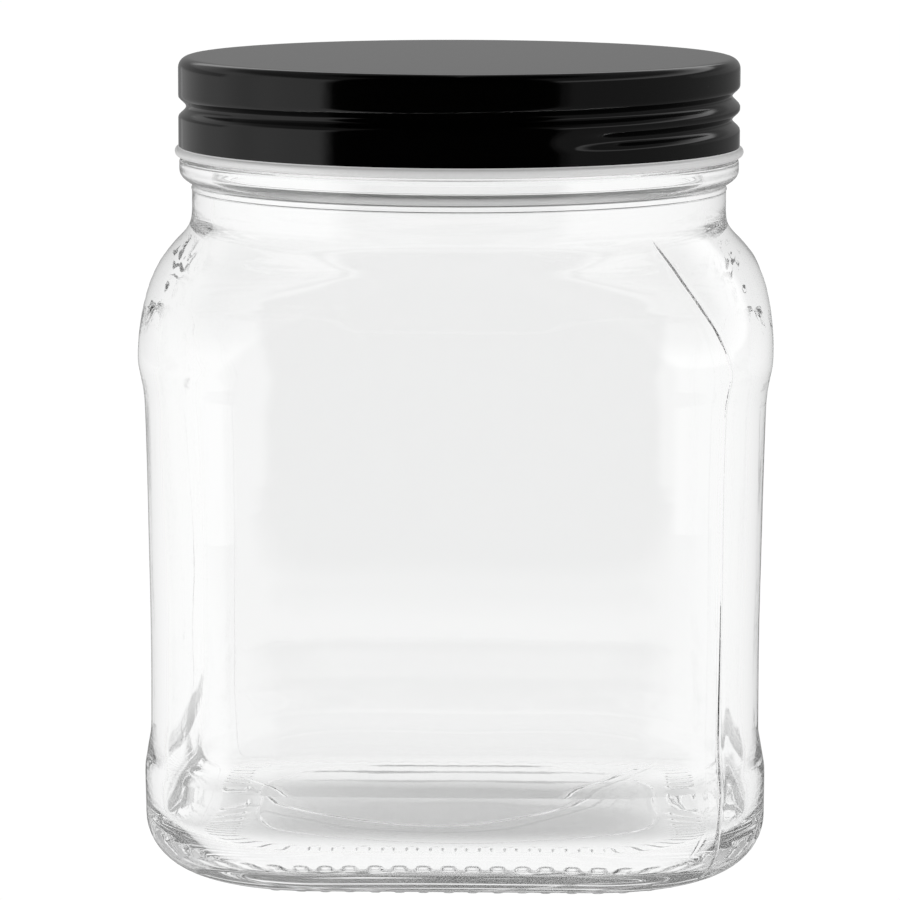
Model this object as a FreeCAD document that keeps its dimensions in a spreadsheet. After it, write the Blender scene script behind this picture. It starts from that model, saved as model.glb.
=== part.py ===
import FreeCAD, Part
import Sketcher
import math
import os

# A square screw-top storage jar: a pressed flint-glass shell with a round neck, and a
# one-piece sheet-metal screw lid. Millimetres, +Z up, the origin is the middle of the
# bearing surface. The jar is square in plan with large corners, has a bulging shoulder,
# a slightly recessed waist and a wider base band. The lid's helical thread is rolled
# into its skirt, and its lower edge is curled outwards.

doc = FreeCAD.newDocument("square_jar")

# ---------------------------------------------------------------- driving sizes
sheet = doc.addObject("Spreadsheet::Sheet", "Sizes")
row = [0]


def size(alias, value, note=""):
    row[0] += 1
    sheet.set("A%d" % row[0], alias)
    sheet.set("B%d" % row[0], "%.6g" % value)
    sheet.setAlias("B%d" % row[0], alias)
    if note:
        sheet.set("C%d" % row[0], note)
    return value


# The body's two skins are lofted through squares with round corners. Each skin is driven
# by a few named stations: height, half the width across the flats, and half the width
# across the corners.
OUTER = [
    ("foot", 0.0, 62.30, 73.60),
    ("band_low", 12.0, 62.35, 73.75),
    ("band_high", 21.0, 62.35, 74.40),
    ("band_top", 25.5, 61.70, 74.10),
    ("waist_low", 30.5, 60.92, 73.80),
    ("waist_rise", 45.0, 60.85, 73.95),
    ("waist_mid", 68.0, 61.15, 74.30),
    ("waist_high", 90.0, 61.60, 74.72),
    ("waist_top", 97.0, 61.85, 74.95),
    ("bulge_start", 101.0, 62.45, 75.80),
    ("bulge_low", 104.0, 62.98, 76.45),
    ("bulge_full", 108.0, 63.25, 75.10),
    ("bulge_high", 112.0, 63.08, 72.55),
    ("shoulder_low", 116.6, 62.40, 68.15),
    ("shoulder_mid", 120.8, 60.85, 63.70),
    ("shoulder_high", 124.2, 58.35, 60.10),
    ("shoulder_top", 126.8, 55.95, 57.10),
    ("neck_root", 129.0, 54.45, 54.55),
]
INNER = [
    ("inside_floor", 6.8, 58.40, 70.20),
    ("inside_band", 20.0, 58.95, 70.90),
    ("inside_rise", 25.0, 58.60, 71.00),
    ("inside_low", 31.0, 57.85, 70.75),
    ("inside_waist", 45.0, 57.80, 70.90),
    ("inside_mid", 68.0, 58.10, 71.20),
    ("inside_high", 90.0, 58.55, 71.60),
    ("inside_top", 97.5, 58.80, 71.85),
    ("inside_bulge", 104.0, 59.55, 72.60),
    ("inside_full", 108.0, 59.75, 71.40),
    ("inside_fall", 112.0, 59.50, 68.80),
    ("inside_slope", 116.6, 58.35, 64.20),
    ("inside_turn", 120.8, 56.10, 59.60),
    ("inside_neck", 125.0, 52.90, 54.40),
    ("inside_root", 130.0, 50.40, 50.48),
]
for name, level, half, reach in OUTER + INNER:
    size(name + "_level", level, "height of this station")
    size(name + "_half", half, "half the width across the flats")
    size(name + "_reach", reach, "half the width across the corners")

heel = size("heel_radius", 12.5, "outside rounding at the foot")
inner_heel = size("inner_heel_radius", 8.0, "inside rounding at the floor")
push_up = size("push_up_rise", 1.3, "rise of the hollow under the base")
push_rim = size("push_up_rim", 42.0, "radius of that hollow at the bearing surface")

neck = size("neck_radius", 54.45)
mouth = size("mouth_radius", 50.40)
neck_floor = size("neck_floor", 127.6, "where the round neck starts inside the shoulder")
bead_base = size("bead_base", 136.9, "lower edge of the transfer bead")
bead_edge = size("bead_edge", 139.6)
bead = size("bead_radius", 57.00)
bead_rim = size("bead_rim", 141.2)
bead_top = size("bead_top", 141.8)
finish = size("finish_radius", 54.20, "plain wall of the threaded finish")
lip_top = size("lip_top", 161.90)
lip_round = size("lip_round", 1.40)
thread_rise = size("thread_rise", 4.80, "pitch of the screw")
glass_bar = size("glass_thread_radius", 1.30, "half-round glass thread")
glass_seat = size("glass_thread_seat", 54.30, "radius at which its centre runs")
glass_first = size("glass_thread_first", 151.33)
glass_turns = size("glass_thread_turns", 1.12)
start_turn = size("thread_start_angle", -73.0, "degrees from +X, seen from above")

lid_top = size("lid_top", 162.40)
lid_gauge = size("lid_gauge", 0.50, "thickness of the lid's sheet")
skirt = size("skirt_radius", 57.15)
lid_round = size("lid_round", 2.20, "rounding between top and skirt")
curl = size("curl_radius", 0.92, "radius of the rolled lower edge")
curl_level = size("curl_level", 143.30)
curl_seat = size("curl_seat", 57.00)
groove_deep = size("groove_depth", 1.60, "how far the rolled thread goes in from the skirt")
groove_half = size("groove_half_height", 2.02, "half its height at the skirt's surface")
groove_first = size("groove_first", 148.93)
groove_turns = size("groove_turns", 1.30)
doc.recompute()


# ---------------------------------------------------------------- helpers
def plane(body, role):
    for feature in body.Origin.OriginFeatures:
        if feature.Role == role:
            return feature


def smooth(xs, ys, x):
    """A monotone cubic through the points, which never overshoots them."""
    n = len(xs)
    d = [(ys[i + 1] - ys[i]) / (xs[i + 1] - xs[i]) for i in range(n - 1)]
    slope = [d[0]]
    for i in range(1, n - 1):
        if d[i - 1] * d[i] <= 0:
            slope.append(0.0)
        else:
            left, right = xs[i] - xs[i - 1], xs[i + 1] - xs[i]
            w1, w2 = 2 * right + left, right + 2 * left
            slope.append((w1 + w2) / (w1 / d[i - 1] + w2 / d[i]))
    slope.append(d[-1])
    i = max(k for k in range(n - 1) if xs[k] <= x or k == 0)
    step = xs[i + 1] - xs[i]
    u = (x - xs[i]) / step
    return (
        (1 + 2 * u) * (1 - u) ** 2 * ys[i]
        + u * (1 - u) ** 2 * step * slope[i]
        + u * u * (3 - 2 * u) * ys[i + 1]
        + u * u * (u - 1) * step * slope[i + 1]
    )


def stations(skin, keys, heel_round):
    """Sections from the foot up: round the heel by angle, then up the wall in small steps.
    Their sizes go in the sheet, where the sketches read them."""
    levels = [k[1] for k in keys]
    halves, reaches = [k[2] for k in keys], [k[3] for k in keys]
    root = math.sqrt(2)
    base = levels[0]
    rows = []
    for k in range(7):
        turn = math.radians(90 - 15 * k)
        rows.append((base + heel_round * (1 - math.sin(turn)), heel_round * (1 - math.cos(turn))))
    level = base + heel_round
    for key in levels[1:]:
        if key <= level + 1.0:
            continue
        step = 3.2 if key < 40 else 1.6 if key > 92 else 12.0
        count = max(1, round((key - level) / step))
        for k in range(1, count + 1):
            rows.append((level + (key - level) * k / count, 0.0))
        level = key
    made = []
    for k, (level, inset) in enumerate(rows):
        name = "%s_%02d" % (skin, k)
        half = smooth(levels, halves, level)
        corner = (root * half - smooth(levels, reaches, level)) / (root - 1) - inset
        half -= inset
        size(name + "_level", level)
        size(name + "_half", half)
        size(name + "_corner", corner)
        made.append((name, level, half, corner))
    doc.recompute()
    return made


def rounded_square(body, station):
    """A sketch of a square with round corners, centred on the axis, at its own height."""
    name, level, half, corner = station
    sketch = body.newObject("Sketcher::SketchObject", name + "_section")
    sketch.AttachmentSupport = [(plane(body, "XY_Plane"), "")]
    sketch.MapMode = "FlatFace"
    sketch.AttachmentOffset = FreeCAD.Placement(
        FreeCAD.Vector(0, 0, level), FreeCAD.Rotation()
    )
    sketch.setExpression("AttachmentOffset.Base.z", "Sizes.%s_level" % name)
    V, flat = FreeCAD.Vector, half - corner
    # sides: right, top, left, bottom, each followed counter-clockwise by its corner
    ends = [
        (V(half, -flat, 0), V(half, flat, 0)),
        (V(flat, half, 0), V(-flat, half, 0)),
        (V(-half, flat, 0), V(-half, -flat, 0)),
        (V(-flat, -half, 0), V(flat, -half, 0)),
    ]
    middles = [V(flat, flat, 0), V(-flat, flat, 0), V(-flat, -flat, 0), V(flat, -flat, 0)]
    for k in range(4):
        sketch.addGeometry(Part.LineSegment(*ends[k]), False)
        circle = Part.Circle(middles[k], V(0, 0, 1), corner)
        sketch.addGeometry(
            Part.ArcOfCircle(circle, k * math.pi / 2, (k + 1) * math.pi / 2), False
        )
    add = lambda *a: sketch.addConstraint(Sketcher.Constraint(*a))
    for k in range(4):
        line, arc, following = 2 * k, 2 * k + 1, (2 * k + 2) % 8
        add("Tangent", line, 2, arc, 1)
        add("Tangent", arc, 2, following, 1)
    add("Vertical", 0)
    add("Horizontal", 2)
    add("Vertical", 4)
    add("Horizontal", 6)
    for arc in (3, 5, 7):
        add("Equal", 1, arc)
    add("Symmetric", 1, 3, 5, 3, -1, 1)
    for label, kind, item, value in (
        ("width", "DistanceX", 0, half),
        ("depth", "DistanceY", 2, half),
    ):
        index = add(kind, -1, 1, item, 1, value)
        sketch.renameConstraint(index, label)
        sketch.setExpression("Constraints." + label, "Sizes.%s_half" % name)
    index = add("Radius", 1, corner)
    sketch.renameConstraint(index, "corner")
    sketch.setExpression("Constraints.corner", "Sizes.%s_corner" % name)
    sketch.Visibility = False
    return sketch


def loft(body, label, stations):
    sections = [rounded_square(body, s) for s in stations]
    doc.recompute()
    made = body.newObject("PartDesign::AdditiveLoft", label)
    made.Profile = sections[0]
    made.Sections = sections[1:]
    made.Ruled = False
    made.Closed = False
    doc.recompute()
    return made


def outline(body, label, points, bound, turn=None, turn_bound=None, arcs=()):
    """A closed outline in the XZ plane from (r, z) corners. bound names, for a corner, the
    cells that its r and z follow. arcs holds {corner: (r, z) it bulges through} for edges
    from that corner to the next one that are arcs. turn swings the outline about the axis."""
    sketch = body.newObject("Sketcher::SketchObject", label)
    sketch.AttachmentSupport = [(plane(body, "XZ_Plane"), "")]
    sketch.MapMode = "FlatFace"
    if turn is not None:
        sketch.AttachmentOffset = FreeCAD.Placement(
            FreeCAD.Vector(0, 0, 0), FreeCAD.Rotation(FreeCAD.Vector(0, 1, 0), turn)
        )
        if turn_bound:
            sketch.setExpression("AttachmentOffset.Rotation.Angle", turn_bound)
    arcs = dict(arcs)
    count = len(points)
    V = FreeCAD.Vector
    ends = []
    for k in range(count):
        a, b = points[k], points[(k + 1) % count]
        pa, pb = V(a[0], a[1], 0), V(b[0], b[1], 0)
        if k in arcs:
            round_ = Part.Arc(pa, V(arcs[k][0], arcs[k][1], 0), pb).toShape().Curve
            centre, radius = round_.Center, round_.Radius
            at = [math.atan2(p.y - centre.y, p.x - centre.x) for p in (pa, V(arcs[k][0], arcs[k][1], 0), pb)]
            span = lambda a, b: (b - a) % (2 * math.pi)
            ahead = span(at[0], at[1]) < span(at[0], at[2])  # counter-clockwise from its corner
            lo, hi = (at[0], at[2]) if ahead else (at[2], at[0])
            circle = Part.Circle(V(centre.x, centre.y, 0), V(0, 0, 1), radius)
            index = sketch.addGeometry(Part.ArcOfCircle(circle, lo, lo + span(lo, hi)), False)
            ends.append((index, 1, 2) if ahead else (index, 2, 1))
        else:
            index = sketch.addGeometry(Part.LineSegment(pa, pb), False)
            ends.append((index, 1, 2))
    add = lambda *a: sketch.addConstraint(Sketcher.Constraint(*a))
    for k in range(count):
        index, _, last = ends[k]
        following, first, _ = ends[(k + 1) % count]
        add("Coincident", index, last, following, first)
    for k in range(count):
        index, first, _ = ends[k]
        for axis, kind in ((0, "DistanceX"), (1, "DistanceY")):
            cell = bound.get(k, (None, None))[axis]
            value = points[k][axis]
            if abs(value) < 1e-9:
                # on an axis: the vertical one is -2, the horizontal one -1
                add("PointOnObject", index, first, -2 if axis == 0 else -1)
                continue
            c = add(kind, -1, 1, index, first, value)
            if cell:
                mark = "%s_%d" % ("r" if axis == 0 else "z", k)
                sketch.renameConstraint(c, mark)
                sketch.setExpression("Constraints." + mark, cell)
    for k in arcs:
        add("Radius", ends[k][0], sketch.Geometry[ends[k][0]].Radius)
    sketch.Visibility = False
    doc.recompute()
    return sketch


def revolve(body, label, sketch, cut=False):
    kind = "PartDesign::Groove" if cut else "PartDesign::Revolution"
    made = body.newObject(kind, label)
    made.Profile = sketch
    made.ReferenceAxis = (sketch, ["V_Axis"])
    made.Angle = 360.0
    doc.recompute()
    return made


def helix(body, label, sketch, turns, bound, cut=False):
    kind = "PartDesign::SubtractiveHelix" if cut else "PartDesign::AdditiveHelix"
    made = body.newObject(kind, label)
    made.Profile = sketch
    made.ReferenceAxis = (sketch, ["V_Axis"])
    made.Mode = "pitch-turns-angle"
    made.Pitch = thread_rise
    made.Turns = turns
    made.LeftHanded = False
    made.Reversed = False
    made.setExpression("Pitch", "Sizes.thread_rise")
    made.setExpression("Turns", bound)
    doc.recompute()
    return made


# ---------------------------------------------------------------- glass jar, outside
blank = doc.addObject("PartDesign::Body", "jar_blank")
blank.Label = "jar_blank"
outside = loft(blank, "outside", stations("outside", OUTER, heel))

S = "Sizes."
# hollow under the base: a shallow spherical dish inside the bearing ring
dish = (push_rim**2 + push_up**2) / (2 * push_up)
before = outside.Shape.Volume
push = blank.newObject("PartDesign::SubtractiveSphere", "push_up")
push.AttachmentSupport = [(plane(blank, "XY_Plane"), "")]
push.MapMode = "FlatFace"
push.AttachmentOffset = FreeCAD.Placement(
    FreeCAD.Vector(0, 0, push_up - dish), FreeCAD.Rotation()
)
push.Radius = dish
rule = "(Sizes.push_up_rim ^ 2 + Sizes.push_up_rise ^ 2) / (2 * Sizes.push_up_rise)"
push.setExpression("Radius", rule)
push.setExpression("AttachmentOffset.Base.z", "Sizes.push_up_rise - " + rule)
doc.recompute()
cap = math.pi * push_up * (3 * push_rim**2 + push_up**2) / 6
removed = before - push.Shape.Volume
assert 0.9 * cap < removed < 1.1 * cap, (removed, cap)

# round neck, transfer bead, threaded finish and lip, as one turned profile
neck_points = [
    (mouth - 6.0, neck_floor),
    (neck, neck_floor),
    (neck, bead_base),
    (bead, bead_edge),
    (bead, bead_rim),
    (bead - 0.6, bead_top),
    (finish, bead_top),
    (finish, lip_top - lip_round),
    (finish - lip_round, lip_top),
    (mouth - 6.0, lip_top),
]
neck_bound = {
    0: (None, S + "neck_floor"),
    1: (S + "neck_radius", S + "neck_floor"),
    2: (S + "neck_radius", S + "bead_base"),
    3: (S + "bead_radius", S + "bead_edge"),
    4: (S + "bead_radius", S + "bead_rim"),
    5: (S + "bead_radius - 0.6", S + "bead_top"),
    6: (S + "finish_radius", S + "bead_top"),
    7: (S + "finish_radius", S + "lip_top - " + S + "lip_round"),
    8: (S + "finish_radius - " + S + "lip_round", S + "lip_top"),
    9: (None, S + "lip_top"),
}
root = math.sqrt(0.5)
neck_sketch = outline(
    blank,
    "neck_section",
    neck_points,
    neck_bound,
    arcs={
        2: (neck + (bead - neck) * 0.80, bead_base + (bead_edge - bead_base) * 0.42),
        4: (bead - 0.6 + 0.6 * root, bead_top - 0.6 + 0.6 * root),
        7: (finish - lip_round + lip_round * root, lip_top - lip_round + lip_round * root),
    },
)
neck_ring = revolve(blank, "neck_and_finish", neck_sketch)

# half-round glass thread, right-handed, above the lid's own rolled thread
c, q = glass_seat, glass_bar
dip = 0.55 * q
glass_sketch = outline(
    blank,
    "glass_thread_section",
    [(c - dip, glass_first - q), (c, glass_first - q), (c, glass_first + q), (c - dip, glass_first + q)],
    {
        1: (S + "glass_thread_seat", S + "glass_thread_first - " + S + "glass_thread_radius"),
        2: (S + "glass_thread_seat", S + "glass_thread_first + " + S + "glass_thread_radius"),
    },
    turn=start_turn,
    turn_bound=S + "thread_start_angle",
    arcs={1: (c + 0.95 * q, glass_first)},
)
glass_thread = helix(
    blank, "glass_thread", glass_sketch, glass_turns, S + "glass_thread_turns"
)
blank.Tip = glass_thread
doc.recompute()

# ---------------------------------------------------------------- glass jar, inside
hollow = doc.addObject("PartDesign::Body", "jar_hollow")
hollow.Label = "jar_hollow"
cavity = loft(hollow, "cavity", stations("inside", INNER, inner_heel))
mouth_sketch = outline(
    hollow,
    "mouth_section",
    [(0.0, 125.0), (mouth - 0.6, 125.0), (mouth, 130.0), (mouth, lip_top + 4.0), (0.0, lip_top + 4.0)],
    {
        1: (S + "mouth_radius - 0.6", None),
        2: (S + "mouth_radius", S + "inside_root_level"),
        3: (S + "mouth_radius", S + "lip_top + 4"),
        4: (None, S + "lip_top + 4"),
    },
)
bore = revolve(hollow, "mouth_bore", mouth_sketch)
hollow.Tip = bore
doc.recompute()

jar = doc.addObject("Part::Cut", "jar")
jar.Base = blank
jar.Tool = hollow
jar.Label = "jar"
jar.Refine = False
jar.Placement = FreeCAD.Placement()
doc.recompute()
# the hollow lies inside the blank, apart from the neck's open core and what is above the lip
core = math.pi * (mouth - 6.0) ** 2 * (lip_top - OUTER[-1][1])
above = math.pi * mouth**2 * 4.0
left = blank.Shape.Volume - (hollow.Shape.Volume - core - above)
assert abs(jar.Shape.Volume - left) < 1000, (jar.Shape.Volume, left)

# ---------------------------------------------------------------- sheet-metal lid
lid = doc.addObject("PartDesign::Body", "lid")
lid.Label = "lid"
inside = skirt - lid_gauge
under = lid_top - lid_gauge
tight = lid_round - lid_gauge
lid_points = [
    (0.0, lid_top),
    (skirt - lid_round, lid_top),
    (skirt, lid_top - lid_round),
    (skirt, curl_level),
    (inside, curl_level),
    (inside, under - tight),
    (inside - tight, under),
    (0.0, under),
]
lid_sketch = outline(
    lid,
    "lid_section",
    lid_points,
    {
        0: (None, S + "lid_top"),
        1: (S + "skirt_radius - " + S + "lid_round", S + "lid_top"),
        2: (S + "skirt_radius", S + "lid_top - " + S + "lid_round"),
        3: (S + "skirt_radius", S + "curl_level"),
        4: (S + "skirt_radius - " + S + "lid_gauge", S + "curl_level"),
        5: (S + "skirt_radius - " + S + "lid_gauge", S + "lid_top - " + S + "lid_round"),
        6: (S + "skirt_radius - " + S + "lid_round", S + "lid_top - " + S + "lid_gauge"),
        7: (None, S + "lid_top - " + S + "lid_gauge"),
    },
    arcs={
        1: (skirt - lid_round * (1 - root), lid_top - lid_round * (1 - root)),
        5: (inside - tight * (1 - root), under - tight * (1 - root)),
    },
)
shell = revolve(lid, "lid_shell", lid_sketch)

# the rolled thread: a rib on the inside, then the matching groove on the outside
level = groove_first
chord = inside + 0.10
reach = groove_half + 0.33
rib_sketch = outline(
    lid,
    "rib_section",
    [(chord, level - reach), (chord, level + reach)],
    {},
    turn=start_turn,
    turn_bound=S + "thread_start_angle",
    arcs={1: (skirt - groove_deep - lid_gauge, level)},
)
lid_rib = helix(lid, "thread_rib", rib_sketch, groove_turns, S + "groove_turns")
# the groove's arc runs on past the skirt's surface, so that it opens there
arc_radius = (groove_deep**2 + groove_half**2) / (2 * groove_deep)
arc_seat = skirt - groove_deep + arc_radius
chord = skirt + 0.30
reach = math.sqrt(arc_radius**2 - (arc_seat - chord) ** 2)
groove_sketch = outline(
    lid,
    "groove_section",
    [(chord, level - reach), (chord, level + reach)],
    {},
    turn=start_turn,
    turn_bound=S + "thread_start_angle",
    arcs={1: (skirt - groove_deep, level)},
)
before = lid_rib.Shape.Volume
lid_groove = helix(
    lid, "thread_groove", groove_sketch, groove_turns, S + "groove_turns", cut=True
)
assert lid_groove.Shape.Volume < before - 100, (lid_groove.Shape.Volume, before)

# outward curl along the lower edge
curl_sketch = lid.newObject("Sketcher::SketchObject", "curl_section")
curl_sketch.AttachmentSupport = [(plane(lid, "XZ_Plane"), "")]
curl_sketch.MapMode = "FlatFace"
curl_sketch.addGeometry(
    Part.Circle(FreeCAD.Vector(curl_seat, curl_level, 0), FreeCAD.Vector(0, 0, 1), curl), False
)
for label, args, cell in (
    ("seat", ("DistanceX", -1, 1, 0, 3, curl_seat), "curl_seat"),
    ("level", ("DistanceY", -1, 1, 0, 3, curl_level), "curl_level"),
    ("radius", ("Radius", 0, curl), "curl_radius"),
):
    index = curl_sketch.addConstraint(Sketcher.Constraint(*args))
    curl_sketch.renameConstraint(index, label)
    curl_sketch.setExpression("Constraints." + label, "Sizes." + cell)
curl_sketch.Visibility = False
doc.recompute()
lid_curl = revolve(lid, "rolled_edge", curl_sketch)
lid.Tip = lid_curl
doc.recompute()

# ---------------------------------------------------------------- checks and export
for item in doc.Objects:
    for bad in ("Invalid", "Error"):
        if bad in item.State:
            raise SystemExit("%s is in state %s" % (item.Name, item.State))
os.makedirs("parts", exist_ok=True)
for part in (jar, lid):
    shape = part.Shape
    if shape.isNull() or not shape.isValid() or len(shape.Solids) != 1:
        raise SystemExit(
            "%s: null %s, valid %s, %d solids"
            % (part.Label, shape.isNull(), shape.isValid(), len(shape.Solids))
        )
    box = shape.optimalBoundingBox(False)
    print(
        "%s: volume %.1f cm3, box %.2f..%.2f, %.2f..%.2f, %.2f..%.2f"
        % (part.Label, shape.Volume / 1000, box.XMin, box.XMax, box.YMin, box.YMax, box.ZMin, box.ZMax)
    )
for part in (jar, lid):
    part.Shape.exportStep("parts/%s.step" % part.Label)
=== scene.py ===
import math
import bpy
import numpy as np
from mathutils import Matrix, Vector


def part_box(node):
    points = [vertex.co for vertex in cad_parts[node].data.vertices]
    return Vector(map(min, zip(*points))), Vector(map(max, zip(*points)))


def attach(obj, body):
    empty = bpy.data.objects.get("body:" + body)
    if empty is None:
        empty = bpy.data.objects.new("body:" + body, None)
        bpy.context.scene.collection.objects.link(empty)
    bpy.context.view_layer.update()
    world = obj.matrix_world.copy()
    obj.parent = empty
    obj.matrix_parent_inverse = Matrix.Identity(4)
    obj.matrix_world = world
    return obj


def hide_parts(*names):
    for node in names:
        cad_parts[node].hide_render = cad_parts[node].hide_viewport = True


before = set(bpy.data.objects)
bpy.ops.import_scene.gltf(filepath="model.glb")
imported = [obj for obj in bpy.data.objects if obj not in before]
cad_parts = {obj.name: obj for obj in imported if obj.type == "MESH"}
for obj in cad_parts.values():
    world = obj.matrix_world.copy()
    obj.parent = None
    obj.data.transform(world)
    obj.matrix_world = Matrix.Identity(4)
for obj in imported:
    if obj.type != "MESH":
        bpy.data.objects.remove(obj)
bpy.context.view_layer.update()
scene = bpy.context.scene

# The jar and the lid are meshed here from the same named sections as their solids, with
# the finer detail that the solids leave out. Sizes below are in millimetres in the row's
# frame, and WIDE and TALL turn them into the metres of the CAD's own boxes.
jar_lo, jar_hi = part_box("jar")
lid_lo, lid_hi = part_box("lid")
WIDE = (jar_hi.x - jar_lo.x) / 126.5
TALL = lid_hi.z / 162.4
MID_X = (jar_hi.x + jar_lo.x) / 2
MID_Y = (jar_hi.y + jar_lo.y) / 2
TAU = 2 * math.pi

OUTER = np.array([
    (0.55, 62.30, 73.60),
    (12.0, 62.35, 73.75),
    (21.0, 62.35, 74.40),
    (25.5, 61.70, 74.10),
    (30.5, 60.92, 73.80),
    (45.0, 60.85, 73.95),
    (68.0, 61.15, 74.30),
    (90.0, 61.60, 74.72),
    (97.0, 61.85, 74.95),
    (101.0, 62.45, 75.80),
    (104.0, 62.98, 76.40),
    (108.0, 63.16, 75.10),
    (112.0, 63.02, 72.55),
    (116.6, 62.40, 68.15),
    (120.8, 60.85, 63.70),
    (124.2, 58.35, 60.10),
    (126.8, 55.95, 57.10),
    (128.4, 54.95, 55.40),
    (129.8, 54.57, 54.66),
    (131.4, 54.45, 54.45),
])
INNER = np.array([
    (6.8, 58.40, 70.20),
    (20.0, 58.95, 70.90),
    (25.0, 58.60, 71.00),
    (31.0, 57.85, 70.75),
    (45.0, 57.80, 70.90),
    (68.0, 58.10, 71.20),
    (90.0, 58.55, 71.60),
    (97.5, 58.80, 71.85),
    (104.0, 59.55, 72.60),
    (108.0, 59.75, 71.40),
    (112.0, 59.50, 68.80),
    (116.6, 58.35, 64.20),
    (120.8, 56.10, 59.60),
    (125.0, 52.90, 54.40),
    (127.6, 51.50, 51.95),
    (129.8, 50.72, 50.82),
    (132.6, 50.40, 50.40),
])
HEEL, INNER_HEEL, FLOOR = 12.5, 8.0, 6.8
NECK, MOUTH, BEAD, FINISH = 54.45, 50.40, 57.00, 54.20
LIP = 161.90
PITCH, START = 4.80, math.radians(-73.0)
BARS = 72
SEAMS = (math.radians(-45.0), math.radians(135.0))


# ---------------------------------------------------------------- shape helpers
def smooth(xs, ys, x):
    """Monotone cubic through the points, for an array of x."""
    xs, ys, x = map(np.asarray, (xs, ys, x))
    d = np.diff(ys) / np.diff(xs)
    slope = np.zeros(len(xs))
    slope[0], slope[-1] = d[0], d[-1]
    for i in range(1, len(xs) - 1):
        if d[i - 1] * d[i] > 0:
            left, right = xs[i] - xs[i - 1], xs[i + 1] - xs[i]
            w1, w2 = 2 * right + left, right + 2 * left
            slope[i] = (w1 + w2) / (w1 / d[i - 1] + w2 / d[i])
    i = np.clip(np.searchsorted(xs, x, side="right") - 1, 0, len(xs) - 2)
    step = xs[i + 1] - xs[i]
    u = (x - xs[i]) / step
    return (
        (1 + 2 * u) * (1 - u) ** 2 * ys[i]
        + u * (1 - u) ** 2 * step * slope[i]
        + u * u * (3 - 2 * u) * ys[i + 1]
        + u * u * (u - 1) * step * slope[i + 1]
    )


def ease(x, lo, hi):
    t = np.clip((np.asarray(x, float) - lo) / (hi - lo), 0, 1)
    return t * t * (3 - 2 * t)


def section(keys, level, inset=0.0):
    """Half width and corner radius at a level."""
    half = float(smooth(keys[:, 0], keys[:, 1], level))
    reach = float(smooth(keys[:, 0], keys[:, 2], level))
    corner = (math.sqrt(2) * half - reach) / (math.sqrt(2) - 1)
    return half - inset, corner - inset


def polar(phi, half, corner):
    """Radius of the rounded square at each angle."""
    p = np.abs((phi + math.pi / 4) % (math.pi / 2) - math.pi / 4)
    flat = half - corner
    c, s = np.cos(p), np.sin(p)
    on_flat = s * half <= flat * c
    k = flat * (c + s)
    on_arc = k + np.sqrt(np.maximum(k * k - 2 * flat * flat + corner * corner, 0))
    return np.where(on_flat, half / c, on_arc)


def even_columns(half, corner, count):
    """Angles of points spaced along a rounded square's outline, closer round its corners."""
    phi = np.linspace(-math.pi, math.pi, 7201)
    r = polar(phi, half, corner)
    x, y = r * np.cos(phi), r * np.sin(phi)
    to_corner = np.abs((phi % (math.pi / 2)) - math.pi / 4)
    weight = 0.42 + 1.15 * (1 - ease(to_corner, math.radians(17), math.radians(25)))
    run = np.concatenate([[0], np.cumsum(np.hypot(np.diff(x), np.diff(y)) * weight[1:])])
    return np.interp(np.arange(count) * run[-1] / count, run, phi)


def stitch(a, b, start_a, start_b):
    """Triangles between two closed loops that are given as angles in rising order."""
    faces, i, j, na, nb = [], 0, 0, len(a), len(b)
    at = lambda v, k: v[k % len(v)] + TAU * (k // len(v))
    while i < na or j < nb:
        if j >= nb or (i < na and at(a, i + 1) <= at(b, j + 1)):
            faces.append((start_a + i % na, start_a + (i + 1) % na, start_b + j % nb))
            i += 1
        else:
            faces.append((start_a + i % na, start_b + (j + 1) % nb, start_b + j % nb))
            j += 1
    return faces


class Skin:
    """A closed skin made of loops, from the axis out and back to the axis again."""

    def __init__(self):
        self.points, self.faces, self.last = [], [], None
        self.count = 0

    def pole(self, z):
        self.points.append(np.array([[0.0, 0.0, z]]))
        index = self.count
        self.count += 1
        if self.last is not None:
            start, phi = self.last
            n = len(phi)
            self.faces += [(start + k, start + (k + 1) % n, index) for k in range(n)]
            self.last = None
        else:
            self.first = index
        return index

    def loop(self, phi, x, y, z):
        start, n = self.count, len(phi)
        self.points.append(np.column_stack([x, y, np.broadcast_to(z, x.shape)]))
        self.count += n
        if self.last is None:
            index = self.first
            self.faces += [(start + (k + 1) % n, start + k, index) for k in range(n)]
        else:
            before, old = self.last
            if len(old) == n:
                self.faces += [
                    (before + k, before + (k + 1) % n, start + (k + 1) % n, start + k)
                    for k in range(n)
                ]
            else:
                self.faces += stitch(old, phi, before, start)
        self.last = (start, phi)

    def mark(self):
        """How many faces there are so far."""
        return len(self.faces)

    def object(self, name):
        co = np.concatenate(self.points)
        co = np.column_stack([co[:, 0] * WIDE + MID_X, co[:, 1] * WIDE + MID_Y, co[:, 2] * TALL])
        mesh = bpy.data.meshes.new(name)
        mesh.from_pydata(co.tolist(), [], self.faces)
        mesh.validate()
        mesh.update()
        mesh.shade_smooth()
        piece = bpy.data.objects.new(name, mesh)
        scene.collection.objects.link(piece)
        return piece


# ---------------------------------------------------------------- the glass jar
def ripple(x, y, z, seed):
    """Slow unevenness of pressed glass, about +-1."""
    rng = np.random.default_rng(seed)
    total = np.zeros(np.broadcast(x, y, z).shape)
    for _ in range(9):
        way = rng.normal(size=3)
        way /= np.linalg.norm(way)
        length = rng.uniform(18.0, 60.0)
        total = total + np.sin(
            (way[0] * x + way[1] * y + way[2] * z) * TAU / length + rng.uniform(0, TAU)
        )
    return total / 3.0


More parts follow.
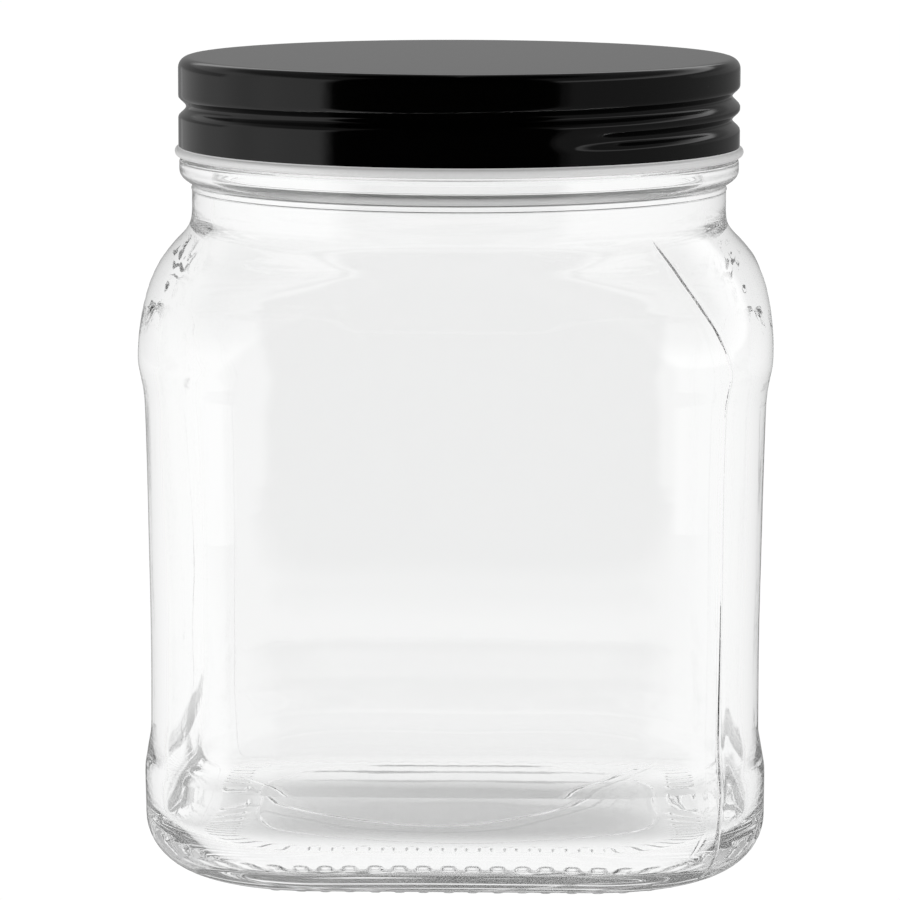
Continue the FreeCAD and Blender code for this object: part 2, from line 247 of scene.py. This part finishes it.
def seam_ridge(phi, z):
    """Height of the mould's parting lines, which stand on two opposite corners."""
    total = np.zeros_like(phi)
    for at, strong in zip(SEAMS, (1.0, 0.3)):
        gap = (phi - at + math.pi) % TAU - math.pi
        wander = math.radians(0.16) * math.sin(z / 19.0) + math.radians(0.07) * math.sin(z / 7.3)
        s = (gap - wander) * 74.0
        if strong < 1:
            strong = strong * (1 - ease(z, 84, 95))
        total += strong * (0.25 * np.exp(-((s / 0.27) ** 2)) - 0.06 * np.exp(-(((s - 0.85) / 0.45) ** 2)))
    return total * (1 + 0.65 * ease(z, 103, 112)) * (1 + 0.35 * (1 - ease(z, 30, 60)))


def columns():
    base = even_columns(61.2, 29.0, 300)
    extra = []
    for at in SEAMS:
        near = np.abs((base - at + math.pi) % TAU - math.pi)
        base = base[near > math.radians(0.75)]
        extra += [at + math.radians(d) for d in (-0.8, -0.5, -0.33, -0.22, -0.13, -0.05, 0.05, 0.13, 0.22, 0.33, 0.48, 0.66, 0.85, 1.15)]
        base = base[np.abs((base - at - math.radians(1.15) + math.pi) % TAU - math.pi) > math.radians(0.25)]
    every = np.concatenate([base, extra])
    every = (every + math.pi) % TAU - math.pi
    return np.sort(every)


def build_jar():
    skin = Skin()
    phi = columns()
    cosp, sinp = np.cos(phi), np.sin(phi)

    # underneath: the push-up, with a faint circular mould ring, then the knurled ring
    rim, rise, ring = 42.0, 1.3, 0.55
    sag = rise - ring
    dish = (rim**2 + sag**2) / (2 * sag)

    def dish_z(r):
        z = rise - dish + np.sqrt(dish**2 - r**2)
        return z

    skin.pole(rise)
    for r in (6, 13, 20, 27, 33, 37, 39.2):
        skin.loop(phi, r * cosp, r * sinp, float(dish_z(r)))
    for r, lift in ((40.2, 0.0), (40.9, 0.02), (41.3, 0.28), (41.7, 0.5), (42.1, 0.30), (42.5, 0.1)):
        z = max(float(dish_z(min(r, 41.9))), ring)
        skin.loop(phi, r * cosp, r * sinp, z + 0.3 * lift * (1 - 0.9 * ease(r * sinp, 0.0, 26.0)))

    # the knurl: bars square to the outline of the bearing ring
    half0, corner0 = section(OUTER, 12.0)
    flat0 = half0 - corner0

    def heel_point(turn):
        """Inset and height round the heel, turn running from 0 underneath to 90 degrees."""
        t = math.radians(turn)
        return HEEL * (1 - math.sin(t)), 0.55 + (12.0 - 0.55) * (1 - math.cos(t))

    fine = BARS * 12
    mid_corner = 48.5 - flat0
    run = np.arange(fine) / fine  # along the outline, in turns
    quarter = 2 * flat0 + mid_corner * math.pi / 2
    travel = run * 4 * quarter

    def along(half, travel=travel):
        """Points of the outline at a half width, each square to its bar's place."""
        corner = half - flat0
        side = (travel // quarter).astype(int)
        t = travel - side * quarter
        straight = t < 2 * flat0
        turn = np.where(straight, 0, (t - 2 * flat0) / mid_corner)
        x = np.where(straight, half, flat0 + corner * np.cos(turn))
        y = np.where(straight, t - flat0, flat0 + corner * np.sin(turn))
        a = side * math.pi / 2
        return x * np.cos(a) - y * np.sin(a), x * np.sin(a) + y * np.cos(a)

    def sorted_loop(x, y, z):
        ang = np.arctan2(y, x)
        order = np.argsort(ang)
        skin.loop(ang[order], x[order], y[order], z[order])

    beat = run * BARS
    rng = np.random.default_rng(5)
    strength = 1.0 + 0.12 * rng.normal(size=BARS)
    wobble = 0.05 * rng.normal(size=BARS)
    which = np.floor(beat).astype(int) % BARS
    off = np.abs(2 * (beat - which - 0.5 + wobble[which]))
    bump = 1 - ease(off, 0.28, 0.78)
    for half in (43.2, 44.4, 44.9, 45.3, 45.7, 46.4, 48.0, 49.6, 50.6, 51.2, 51.7, 52.2, 52.7, 53.3, 54.4, 55.6):
        end_in = ease(half - 0.9 * off**2, 44.6, 45.8)
        end_out = 1 - ease(half + 0.9 * off**2, 49.8, 52.2)
        if half <= 49.85:
            ground = 0.55
        else:
            ground = 0.55 + 11.45 * (1 - math.sqrt(1 - ((half - 49.85) / HEEL) ** 2))
        x, y = along(half)
        lift = bump * np.clip(strength[which], 0.6, 1.0) * end_in * end_out
        lift = lift * (1 - 0.9 * ease(y, 20.0, 42.0)) * (1 + 0.2 * ease(np.abs(x), 40.0, 46.0) * (1 - ease(y, 10.0, 30.0)))
        hollow = 0.17 * ease(half, 44.0, 46.0) * (1 - ease(half, 49.4, 52.6)) * (1 - 0.9 * ease(y, 20.0, 42.0))
        sorted_loop(x, y, np.maximum(ground + hollow - 0.72 * lift, 0.0))

    # heel, then the outside wall
    for turn in (34, 39, 45, 51, 57, 63, 69, 76, 83, 90):
        inset, z = heel_point(turn)
        half, corner = half0 - inset, corner0 - inset
        r = polar(phi, half, corner)
        r = r + seam_ridge(phi, z) * ease(turn, 30, 60)
        skin.loop(phi, r * cosp, r * sinp, z)
    levels = np.concatenate([
        np.arange(13.5, 22.0, 1.4), np.arange(22.0, 33.0, 0.9), np.arange(33.5, 45.0, 2.6),
        np.arange(46.0, 90.0, 6.2), np.arange(90.5, 98.0, 1.5), np.arange(98.6, 131.4, 0.8),
    ])
    for z in levels:
        half, corner = section(OUTER, z)
        r = polar(phi, half, corner) + seam_ridge(phi, z) * (1 - ease(z, 126.5, 129.5))
        x, y = r * cosp, r * sinp
        r = r + 0.035 * ripple(x, y, z, 3) * ease(z, 12, 18) * (1 - ease(z, 122, 127))
        skin.loop(phi, r * cosp, r * sinp, z)

    # round neck with the neck ring's parting line, transfer bead, threaded finish, lip
    ridge = lambda z: 0.16 * math.exp(-(((z - 135.8) / 0.22) ** 2))
    profile = [(NECK, z) for z in (131.8, 133.2, 134.6)]
    profile += [(NECK + ridge(z), z) for z in (135.2, 135.5, 135.7, 135.8, 135.9, 136.1, 136.4)]
    for k in range(8):
        t = k / 7
        profile.append((NECK + (BEAD - NECK) * math.sin(t * math.pi / 2) ** 1.1, 136.9 + 2.7 * (t**1.35)))
    profile += [(BEAD, 140.2), (BEAD, 140.8)]
    profile += [(BEAD - 0.6 * (1 - math.cos(t)), 141.2 + 0.6 * math.sin(t)) for t in (0.0, 0.5, 1.0, 1.57)]
    profile += [(FINISH + 1.2, 141.85), (FINISH + 0.4, 142.0), (FINISH, 142.6)]
    for r, z in profile:
        skin.loop(phi, r * cosp, r * sinp, z)
    for z in [144.5, 146.5, 148.0] + list(np.arange(149.0, 158.3, 0.68)) + [159.4]:
        r = np.full_like(phi, FINISH)
        for turn in (0, 1):
            path = ((phi - START) % TAU) / TAU + turn
            centre = 151.33 + PITCH * path
            fade = ease(path, 0.0, 0.04) * (1 - ease(path, 1.06, 1.12))
            r = r + fade * 1.38 * np.sqrt(np.clip(1 - ((z - centre) / 1.3) ** 2, 0, 1))
        skin.loop(phi, r * cosp, r * sinp, z)
    for t in (0.0, 0.35, 0.7, 1.05, 1.3, 1.5):
        r, z = FINISH - 1.4 + 1.4 * math.cos(t), LIP - 1.4 + 1.4 * math.sin(t)
        skin.loop(phi, r * cosp, r * sinp, z)
    skin.loop(phi, 52.3 * cosp, 52.3 * sinp, LIP)
    for t in (0.1, 0.5, 0.9, 1.3, 1.57):
        r, z = MOUTH + 0.9 * (1 - math.sin(t)), LIP - 0.9 * (1 - math.cos(t))
        skin.loop(phi, r * cosp, r * sinp, z)
    for z in (158, 153, 148, 143, 139.5, 137, 135, 133.6):
        r = MOUTH + 0.05 * ripple(MOUTH * cosp, MOUTH * sinp, z, 8)
        skin.loop(phi, r * cosp, r * sinp, z)

    # inside wall, floor heel and floor
    down = np.concatenate([
        np.arange(132.5, 98.5, -1.05), np.arange(98.0, 88.0, -2.0), np.arange(86.0, 46.0, -6.0),
        np.arange(43.0, 32.0, -2.8), np.arange(31.0, FLOOR + INNER_HEEL + 0.4, -1.3),
    ])
    for z in down:
        half, corner = section(INNER, z)
        r = polar(phi, half, corner)
        x, y = r * cosp, r * sinp
        r = r + 0.06 * ripple(x, y, z * 0.55, 11) * (1 - ease(z, 118, 127))
        skin.loop(phi, r * cosp, r * sinp, z)
    for turn in (90, 80, 70, 60, 50, 40, 30, 20, 10, 0):
        t = math.radians(turn)
        half, corner = section(INNER, FLOOR + INNER_HEEL)
        inset, z = INNER_HEEL * (1 - math.sin(t)), FLOOR + INNER_HEEL * (1 - math.cos(t))
        r = polar(phi, half - inset, corner - inset)
        x, y = r * cosp, r * sinp
        r = r + 0.06 * ripple(x, y, z * 0.55, 11) * ease(z, FLOOR, FLOOR + 3)
        lift = floor_lift(x, y) * (1 - ease(z, FLOOR, FLOOR + 3.5))
        skin.loop(phi, r * cosp, r * sinp, z + lift)
    r0 = polar(phi, half - INNER_HEEL, corner - INNER_HEEL)
    for share in (0.95, 0.9, 0.84, 0.77, 0.7, 0.62, 0.54, 0.46, 0.38, 0.3, 0.22, 0.14, 0.07):
        r = r0 * share * (1 - ease(share, 0.9, 0.5)) + 50.0 * share * ease(share, 0.9, 0.5)
        x, y = r * cosp, r * sinp
        skin.loop(phi, x, y, FLOOR + floor_lift(x, y))
    skin.pole(FLOOR + float(floor_lift(np.zeros(1), np.zeros(1))[0]))
    return skin.object("glass_jar")


def floor_lift(x, y):
    """The floor inside is slightly uneven and follows the push-up."""
    return 0.07 * ripple(x, y, 0.0, 21) + 0.1 * np.exp(-(x * x + y * y) / 900.0)


# ---------------------------------------------------------------- the lid
def build_lid():
    """Thin sheet with a helical groove rolled into its skirt and an outward curl."""
    skin = Skin()
    n = 300
    phi = np.linspace(-math.pi, math.pi, n, endpoint=False)
    cosp, sinp = np.cos(phi), np.sin(phi)
    gauge, skirt, top, rnd = 0.5, 57.15, 162.40, 2.2
    depth, reach = 1.60, 2.10

    def groove(z):
        """How far the skirt's centre line is pressed in at a height."""
        total = np.zeros(n)
        for turn in (0, 1):
            path = ((phi - START) % TAU) / TAU + turn
            centre = 148.93 + PITCH * path
            fade = ease(path, 0.0, 0.06) * (1 - ease(path, 1.20, 1.30))
            u = np.clip(np.abs(z - centre) / reach, 0, 1)
            total = np.maximum(total, fade * depth * (0.5 + 0.5 * np.cos(math.pi * u)) ** 0.85)
        return total

    skin.pole(top)
    for r in (12, 24, 36, 46, 51, 53.6):
        skin.loop(phi, r * cosp, r * sinp, top)
    for t in np.linspace(0, 90, 9):
        a = math.radians(t)
        r, z = skirt - rnd + rnd * math.sin(a), top - rnd + rnd * math.cos(a)
        skin.loop(phi, r * cosp, r * sinp, z)
    rows = np.arange(159.8, 145.0, -0.42)
    for z in rows:
        r = skirt - groove(z)
        skin.loop(phi, r * cosp, r * sinp, z)
    # the skirt runs down into the curl, which rolls outwards and back under, so that it
    # shows the bare tinplate of the sheet's inside
    curl, seat, level = 0.92, 57.00, 143.30
    skin.loop(phi, skirt * cosp, skirt * sinp, 144.75)
    skin.loop(phi, (skirt - 0.04) * cosp, (skirt - 0.04) * sinp, 144.4)
    bare = skin.mark()
    for t in (78, 60, 42, 24, 6, -12, -30, -48, -66, -84, -102, -120, -138, -156, -174):
        a = math.radians(t)
        r, z = seat + curl * math.cos(a), level + curl * math.sin(a)
        skin.loop(phi, r * cosp, r * sinp, z)
    inner = skirt - gauge - 0.45
    skin.loop(phi, (inner) * cosp, (inner) * sinp, 144.2)
    for z in rows[::-1]:
        r = skirt - gauge - groove(z) * 1.0
        skin.loop(phi, r * cosp, r * sinp, z)
    tight = rnd - gauge
    for t in np.linspace(90, 0, 6):
        a = math.radians(t)
        r, z = skirt - rnd + tight * math.sin(a), top - rnd + tight * math.cos(a)
        skin.loop(phi, r * cosp, r * sinp, z)
    for r in (50, 40, 25, 10):
        skin.loop(phi, r * cosp, r * sinp, top - gauge)
    skin.pole(top - gauge)
    made = skin.object("screw_lid")
    inside = np.zeros(len(made.data.polygons), np.int32)
    inside[bare:] = 1
    made.data.polygons.foreach_set("material_index", inside)
    return made


# ---------------------------------------------------------------- materials
def new_material(name):
    mat = bpy.data.materials.new(name)
    mat.use_nodes = True
    tree = mat.node_tree
    tree.nodes.clear()
    out = tree.nodes.new("ShaderNodeOutputMaterial")
    shader = tree.nodes.new("ShaderNodeBsdfPrincipled")
    tree.links.new(shader.outputs[0], out.inputs[0])
    return mat, tree, shader


def node(tree, kind, **settings):
    made = tree.nodes.new(kind)
    for key, value in settings.items():
        if hasattr(made, key):
            setattr(made, key, value)
        else:
            made.inputs[key].default_value = value
    return made


def glass_material():
    mat, tree, shader = new_material("clear_glass")
    link = tree.links.new
    shader.inputs["Base Color"].default_value = (0.998, 1.0, 0.999, 1)
    shader.inputs["Transmission Weight"].default_value = 1.0
    shader.inputs["Roughness"].default_value = 0.0
    shader.inputs["IOR"].default_value = 1.52
    place = node(tree, "ShaderNodeTexCoord")
    fine = node(tree, "ShaderNodeTexNoise", Scale=55.0, Detail=1.5, Roughness=0.4)
    link(place.outputs["Object"], fine.inputs["Vector"])
    bump = node(tree, "ShaderNodeBump", Strength=0.04, Distance=0.0005)
    link(fine.outputs["Fac"], bump.inputs["Height"])

    # the curved flow mark on the floor inside
    def step(operation, a, b=None, c=None):
        made = tree.nodes.new("ShaderNodeMath")
        made.operation = operation
        for k, value in enumerate((a, b, c)):
            if isinstance(value, (int, float)):
                made.inputs[k].default_value = value
            elif value is not None:
                link(value, made.inputs[k])
        return made.outputs[0]

    split = tree.nodes.new("ShaderNodeSeparateXYZ")
    link(place.outputs["Object"], split.inputs[0])
    x, y, z = split.outputs
    across = step("ADD", x, 0.003)
    bend = step("ADD", 17.5, step("MULTIPLY", step("GREATER_THAN", across, 0.0), 13.5))
    slope = step("MULTIPLY", step("MULTIPLY", across, bend), 2.0)
    away = step("SUBTRACT", step("ADD", y, 0.021), step("MULTIPLY", step("MULTIPLY", across, across), bend))
    away = step("DIVIDE", away, step("SQRT", step("MULTIPLY_ADD", slope, slope, 1.0)))
    mark = step("EXPONENT", step("MULTIPLY", step("POWER", step("DIVIDE", away, 0.00055), 2.0), -1.0))
    on_floor = step("MULTIPLY", step("GREATER_THAN", z, 0.0055), step("LESS_THAN", z, 0.0105))
    inside = step("LESS_THAN", step("MAXIMUM", step("ABSOLUTE", x), step("ABSOLUTE", y)), 0.050)
    mark = step("MULTIPLY", mark, step("MULTIPLY", on_floor, inside))
    pressed = node(tree, "ShaderNodeBump", Strength=1.0, Distance=0.00022)
    link(mark, pressed.inputs["Height"])
    link(bump.outputs["Normal"], pressed.inputs["Normal"])
    link(pressed.outputs["Normal"], shader.inputs["Normal"])
    return mat


def lacquer_material():
    mat, tree, shader = new_material("black_lacquer")
    link = tree.links.new
    shader.inputs["Base Color"].default_value = (0.0006, 0.0006, 0.0006, 1)
    shader.inputs["IOR"].default_value = 1.5
    place = node(tree, "ShaderNodeTexCoord")
    grain = node(tree, "ShaderNodeTexNoise", Scale=900.0, Detail=2.0)
    link(place.outputs["Object"], grain.inputs["Vector"])
    rough = node(tree, "ShaderNodeMapRange")
    rough.inputs["To Min"].default_value = 0.06
    rough.inputs["To Max"].default_value = 0.11
    link(grain.outputs["Fac"], rough.inputs["Value"])
    link(rough.outputs["Result"], shader.inputs["Roughness"])
    peel = node(tree, "ShaderNodeTexNoise", Scale=420.0, Detail=1.0)
    link(place.outputs["Object"], peel.inputs["Vector"])
    bump = node(tree, "ShaderNodeBump", Strength=0.04, Distance=0.0002)
    link(peel.outputs["Fac"], bump.inputs["Height"])
    link(bump.outputs["Normal"], shader.inputs["Normal"])
    return mat


def tinplate_material():
    """Bright tinplate under a pale clear coat."""
    mat, tree, shader = new_material("bare_tinplate")
    link = tree.links.new
    shader.inputs["Metallic"].default_value = 0.25
    shader.inputs["IOR"].default_value = 1.5
    place = node(tree, "ShaderNodeTexCoord")
    grain = node(tree, "ShaderNodeTexNoise", Scale=1400.0, Detail=3.0)
    link(place.outputs["Object"], grain.inputs["Vector"])
    tone = node(tree, "ShaderNodeMix", data_type="RGBA")
    tone.inputs["A"].default_value = (0.90, 0.90, 0.895, 1)
    tone.inputs["B"].default_value = (0.96, 0.96, 0.96, 1)
    link(grain.outputs["Fac"], tone.inputs["Factor"])
    link(tone.outputs["Result"], shader.inputs["Base Color"])
    rough = node(tree, "ShaderNodeMapRange")
    rough.inputs["To Min"].default_value = 0.30
    rough.inputs["To Max"].default_value = 0.42
    link(grain.outputs["Fac"], rough.inputs["Value"])
    link(rough.outputs["Result"], shader.inputs["Roughness"])
    return mat


jar = build_jar()
jar.data.materials.append(glass_material())
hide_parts("jar")
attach(jar, "root")

lid = build_lid()
lid.data.materials.append(lacquer_material())
lid.data.materials.append(tinplate_material())
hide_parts("lid")
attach(lid, "root")


# ---------------------------------------------------------------- floor and light
def plane(name, size, z, colour, glow):
    mesh = bpy.data.meshes.new(name)
    s = size / 2
    mesh.from_pydata([(-s, -s, z), (s, -s, z), (s, s, z), (-s, s, z)], [], [(0, 1, 2, 3)])
    made = bpy.data.objects.new(name, mesh)
    scene.collection.objects.link(made)
    mat, tree, shader = new_material(name)
    shader.inputs["Base Color"].default_value = colour
    shader.inputs["Roughness"].default_value = 0.9
    shader.inputs["Specular IOR Level"].default_value = 0.0
    shader.inputs["Emission Color"].default_value = (1, 1, 1, 1)
    shader.inputs["Emission Strength"].default_value = glow
    made.data.materials.append(mat)
    return made


floor = plane("pale_floor", 40.0, -0.0002, (0.0, 0.0, 0.0, 1), 1.02)
floor.visible_glossy = floor.visible_transmission = floor.visible_diffuse = False
floor.visible_shadow = False


def table_top(radius):
    """What the glass sees of the pale table it stands on: a glowing table with a painted shadow where the jar covers
    it.
    """
    n = 96
    ring = [(radius * math.cos(TAU * k / n), radius * math.sin(TAU * k / n), -0.0003) for k in range(n)]
    mesh = bpy.data.meshes.new("pale_table")
    mesh.from_pydata(ring, [], [tuple(range(n))])
    made = bpy.data.objects.new("pale_table", mesh)
    scene.collection.objects.link(made)
    mat, tree, shader = new_material("pale_table")
    link = tree.links.new
    shader.inputs["Base Color"].default_value = (0, 0, 0, 1)
    shader.inputs["Specular IOR Level"].default_value = 0.0
    shader.inputs["Emission Color"].default_value = (1, 1, 1, 1)
    place = node(tree, "ShaderNodeTexCoord")
    squeeze = node(tree, "ShaderNodeMapping")
    squeeze.inputs["Location"].default_value = (0.0, 0.009, 0.0)
    squeeze.inputs["Scale"].default_value = (0.85, 1.6, 1.0)
    link(place.outputs["Object"], squeeze.inputs["Vector"])
    length = node(tree, "ShaderNodeVectorMath", operation="LENGTH")
    link(squeeze.outputs[0], length.inputs[0])
    # painted shadow under the jar: the glow falls from 1.0 to 0.30 towards a spot a little to the camera side of the
    # jar's middle, standing in for the shade the jar casts
    shade = node(tree, "ShaderNodeMapRange", interpolation_type="SMOOTHSTEP")
    shade.inputs["From Min"].default_value = 0.020
    shade.inputs["From Max"].default_value = 0.072
    shade.inputs["To Min"].default_value = 0.30
    shade.inputs["To Max"].default_value = 1.0
    link(length.outputs["Value"], shade.inputs["Value"])
    # the camera side of the table falls away into the dark room
    split = node(tree, "ShaderNodeSeparateXYZ")
    link(place.outputs["Object"], split.inputs[0])
    fall = node(tree, "ShaderNodeMapRange", interpolation_type="SMOOTHSTEP")
    fall.inputs["From Min"].default_value = -0.30
    fall.inputs["From Max"].default_value = -0.06
    fall.inputs["To Min"].default_value = 0.03
    link(split.outputs["Y"], fall.inputs["Value"])
    # only where the glass mirrors it: looked at straight through the jar, it is pale
    route = tree.nodes.new("ShaderNodeLightPath")
    bounced = node(tree, "ShaderNodeMath", operation="GREATER_THAN")
    link(route.outputs["Glossy Depth"], bounced.inputs[0])
    bounced.inputs[1].default_value = 0.5
    pale = node(tree, "ShaderNodeMix", data_type="FLOAT")
    link(bounced.outputs[0], pale.inputs["Factor"])
    pale.inputs["A"].default_value = 1.0
    link(fall.outputs["Result"], pale.inputs["B"])
    both = node(tree, "ShaderNodeMath", operation="MULTIPLY")
    link(shade.outputs["Result"], both.inputs[0])
    link(pale.outputs["Result"], both.inputs[1])
    link(both.outputs[0], shader.inputs["Emission Strength"])
    mesh.materials.append(mat)
    made.visible_camera = made.visible_glossy = False
    return made


table = table_top(0.45)

world = bpy.data.worlds.new("studio")
scene.world = world
world.use_nodes = True
wt = world.node_tree
wt.nodes.clear()
w_out = wt.nodes.new("ShaderNodeOutputWorld")
w_bg = wt.nodes.new("ShaderNodeBackground")
wt.links.new(w_bg.outputs[0], w_out.inputs[0])
w_bg.inputs["Color"].default_value = (1, 1, 1, 1)
w_place = wt.nodes.new("ShaderNodeTexCoord")
w_split = wt.nodes.new("ShaderNodeSeparateXYZ")
wt.links.new(w_place.outputs["Generated"], w_split.inputs[0])


def calc(operation, a, b=None, c=None):
    made = wt.nodes.new("ShaderNodeMath")
    made.operation = operation
    for slot_, value in enumerate((a, b, c)):
        if value is None:
            continue
        if isinstance(value, (int, float)):
            made.inputs[slot_].default_value = value
        else:
            wt.links.new(value, made.inputs[slot_])
    return made.outputs[0]


def rise_at(value, at, blur):
    """0 below, 1 above."""
    made = wt.nodes.new("ShaderNodeMapRange")
    made.interpolation_type = "SMOOTHSTEP"
    made.inputs["From Min"].default_value = at - blur
    made.inputs["From Max"].default_value = at + blur
    wt.links.new(value, made.inputs["Value"])
    return made.outputs["Result"]


dx, dy, dz = w_split.outputs
az = calc("MULTIPLY", calc("ARCTAN2", dx, calc("MULTIPLY", dy, -1.0)), 180 / math.pi)
el = calc("MULTIPLY", calc("ARCSINE", dz), 180 / math.pi)


def panel(centre, half, low, high, round_, blur):
    """1 inside a rectangle of sky with round corners, in degrees: 0 is in front, + to the right."""
    off = calc("ABSOLUTE", calc("WRAP", calc("SUBTRACT", az, centre), 180.0, -180.0))
    gx = calc("SUBTRACT", off, half - round_)
    gy = calc("SUBTRACT", calc("ABSOLUTE", calc("SUBTRACT", el, (low + high) / 2)), (high - low) / 2 - round_)
    ox, oy = calc("MAXIMUM", gx, 0.0), calc("MAXIMUM", gy, 0.0)
    far = calc("SQRT", calc("ADD", calc("MULTIPLY", ox, ox), calc("MULTIPLY", oy, oy)))
    far = calc("ADD", far, calc("MINIMUM", calc("MAXIMUM", gx, gy), 0.0))
    return calc("SUBTRACT", 1.0, rise_at(far, round_, blur))


def studio(base, panels):
    level = base
    for centre, half, low, high, round_, blur, value in panels:
        inside = panel(centre, half, low, high, round_, blur)
        if isinstance(level, float):
            level = calc("ADD", level, calc("MULTIPLY", inside, value - level))
        else:
            level = calc("ADD", calc("MULTIPLY", level, calc("SUBTRACT", 1.0, inside)), calc("MULTIPLY", inside, value))
    return level


# the lid mirrors a dark camera side, two softboxes, a dark ceiling and a grey back edge
mirrored = studio(1.0, (
    (-95.0, 61.0, -120.0, 40.0, 6.0, 2.0, 0.43),
    (-82.0, 36.0, -120.0, 38.0, 6.0, 9.0, 0.54),
    (-68.0, 22.0, -120.0, 36.0, 6.0, 9.0, 0.68),
    (180.0, 24.0, -120.0, 16.0, 4.0, 6.0, 0.27),
    (0.0, 180.0, 34.0, 150.0, 0.0, 8.0, 0.15),
    (0.0, 180.0, 62.0, 150.0, 0.0, 8.0, 0.01),
    (105.0, 62.0, -120.0, 24.0, 6.0, 2.0, 0.19),
    (180.0, 70.0, 1.0, 16.0, 4.0, 3.0, 0.27),
    (-4.5, 49.5, -120.0, 120.0, 6.0, 4.0, 0.0),
))
# the white tent that lights the glass from all round is dark above, and its reflections
# in the glass are dark on the camera side
light_path = wt.nodes.new("ShaderNodeLightPath")
through = studio(1.0, ((0.0, 180.0, 36.0, 150.0, 0.0, 10.0, 0.25),))
reflected = calc("GREATER_THAN", light_path.outputs["Glossy Depth"], 0.5)
front = calc("MULTIPLY", panel(0.0, 50.0, -120.0, 60.0, 10.0, 6.0), reflected)
through = calc("ADD", through, calc("MULTIPLY", front, calc("SUBTRACT", 0.02, through)))
entered = calc("GREATER_THAN", light_path.outputs["Transmission Depth"], 0.5)
entered = calc("MAXIMUM", entered, light_path.outputs["Is Diffuse Ray"])
level = calc("ADD", mirrored, calc("MULTIPLY", entered, calc("SUBTRACT", through, mirrored)))
level = calc("MAXIMUM", level, calc("MULTIPLY", light_path.outputs["Is Camera Ray"], 1.02))
wt.links.new(level, w_bg.inputs["Strength"])

# ---------------------------------------------------------------- camera
camera = bpy.data.objects.new("camera", bpy.data.cameras.new("camera"))
scene.collection.objects.link(camera)
scene.camera = camera
camera.data.sensor_width = 36.0
camera.data.lens = 36.0 * 4868.0 / 900.0
camera.data.clip_start, camera.data.clip_end = 0.05, 60.0
turn, pitch, tilt = math.radians(1.2), math.radians(8.26), math.radians(0.12)
ahead = Vector((-math.sin(turn) * math.cos(pitch), math.cos(turn) * math.cos(pitch), -math.sin(pitch)))
back_off = 0.9913
camera.location = (back_off * math.sin(turn), -back_off * math.cos(turn), 0.22535)
aim = ahead.to_track_quat("-Z", "Y")
camera.rotation_mode = "QUATERNION"
camera.rotation_quaternion = aim @ Matrix.Rotation(tilt, 3, "Z").to_quaternion()
camera.data.shift_x = -8.5 / 900

scene.view_settings.view_transform = "Standard"
scene.view_settings.look = "None"
scene.cycles.max_bounces = 96
scene.cycles.transmission_bounces = 96
scene.cycles.glossy_bounces = 96
scene.cycles.diffuse_bounces = 4
scene.cycles.caustics_refractive = True
scene.cycles.caustics_reflective = True
